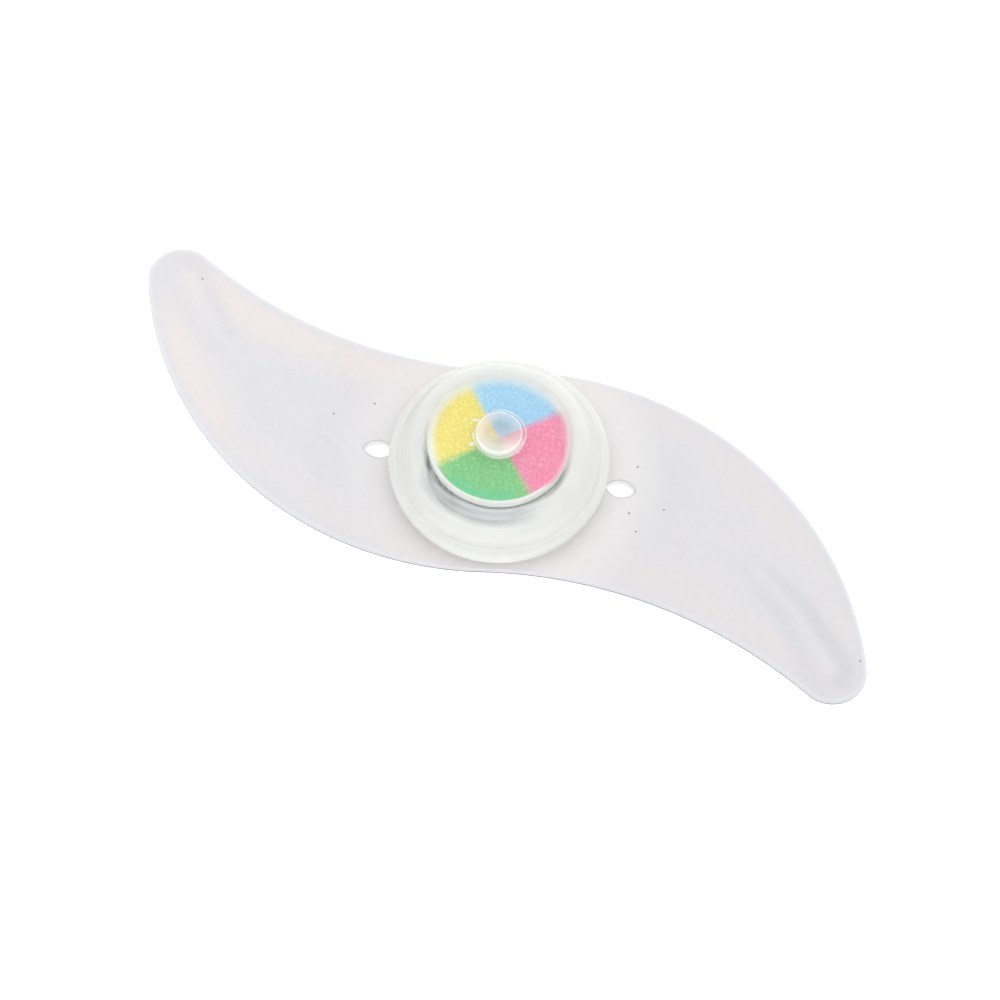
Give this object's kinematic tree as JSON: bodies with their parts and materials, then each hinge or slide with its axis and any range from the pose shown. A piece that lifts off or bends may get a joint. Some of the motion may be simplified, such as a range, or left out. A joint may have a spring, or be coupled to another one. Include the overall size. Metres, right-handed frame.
{
  "type": "bicycle wheel spoke light",
  "caption": "S-shaped translucent blade with a round clear domed hub that holds a coin-cell light engine, a centre push button and two cable-tie slots.",
  "frame": {"origin": "centre of the rear cover's flat face, on the hub's axis", "axes": "+Z along the hub's axis towards the push button; X through the two tie slots, along the blade"},
  "size_m": [0.1268, 0.0614, 0.0179],
  "materials": {
    "blade_silicone": "milky translucent silicone, satin",
    "dome_silicone": "clear, faintly milky silicone, gloss",
    "button_silicone": "clear silicone, gloss",
    "rear_plastic": "milky translucent plastic, satin",
    "seal_rubber": "soft silicone",
    "printed_film": "film printed in blue, yellow, green and red quarters",
    "white_plastic": "moulded, satin",
    "circuit_board": "dark green lacquered glass-fibre board",
    "clear_plastic": "clear moulded",
    "spring_steel": "bright nickel-plated",
    "tinned_metal": "tinned",
    "cell_steel": "nickel-plated steel can",
    "cell_body": "nickel-plated cap over the filled cell",
    "cell_gasket": "moulded gasket",
    "chip_black": "moulded, matt",
    "wire_cover": "insulated fine wire",
    "led_epoxy": "clear epoxy"
  },
  "bodies": {
    "housing": {"blade": "blade_silicone", "cell_1_can": "cell_steel", "cell_1_cap": "cell_body", "cell_1_seal": "cell_gasket", "cell_2_can": "cell_steel", "cell_2_cap": "cell_body", "cell_2_seal": "cell_gasket", "cell_holder": "clear_plastic", "chip_legs": "tinned_metal", "contact_plus": "spring_steel", "contact_spring": "spring_steel", "controller_chip": "chip_black", "driver_board": "circuit_board", "front_dome": "dome_silicone", "led_left": "led_epoxy", "led_left_leads": "tinned_metal", "led_right": "led_epoxy", "led_right_leads": "tinned_metal", "link_wires": "wire_cover", "rear_cover": "rear_plastic", "resistors": "chip_black", "seal_ring": "seal_rubber", "switch_board": "circuit_board", "switch_snap_disc": "spring_steel"},
    "button": {"push_button": "button_silicone"},
    "key": {"key_plate": "white_plastic", "label": "printed_film"}
  },
  "joints": [
    {"name": "button_press", "type": "slide", "parent": "housing", "child": "button", "axis": [0, 0, -1], "range_m": [0, 0.00025], "stiffness_N_per_m": 800, "springref_m": -0.001},
    {"name": "key_press", "type": "slide", "parent": "housing", "child": "key", "axis": [0, 0, -1], "range_m": [0, 0.00025], "deforming": ["switch_snap_disc"]}
  ],
  "couplings": [
    {"joint": "key_press", "follows": "button_press", "ratio": 1}
  ]
}
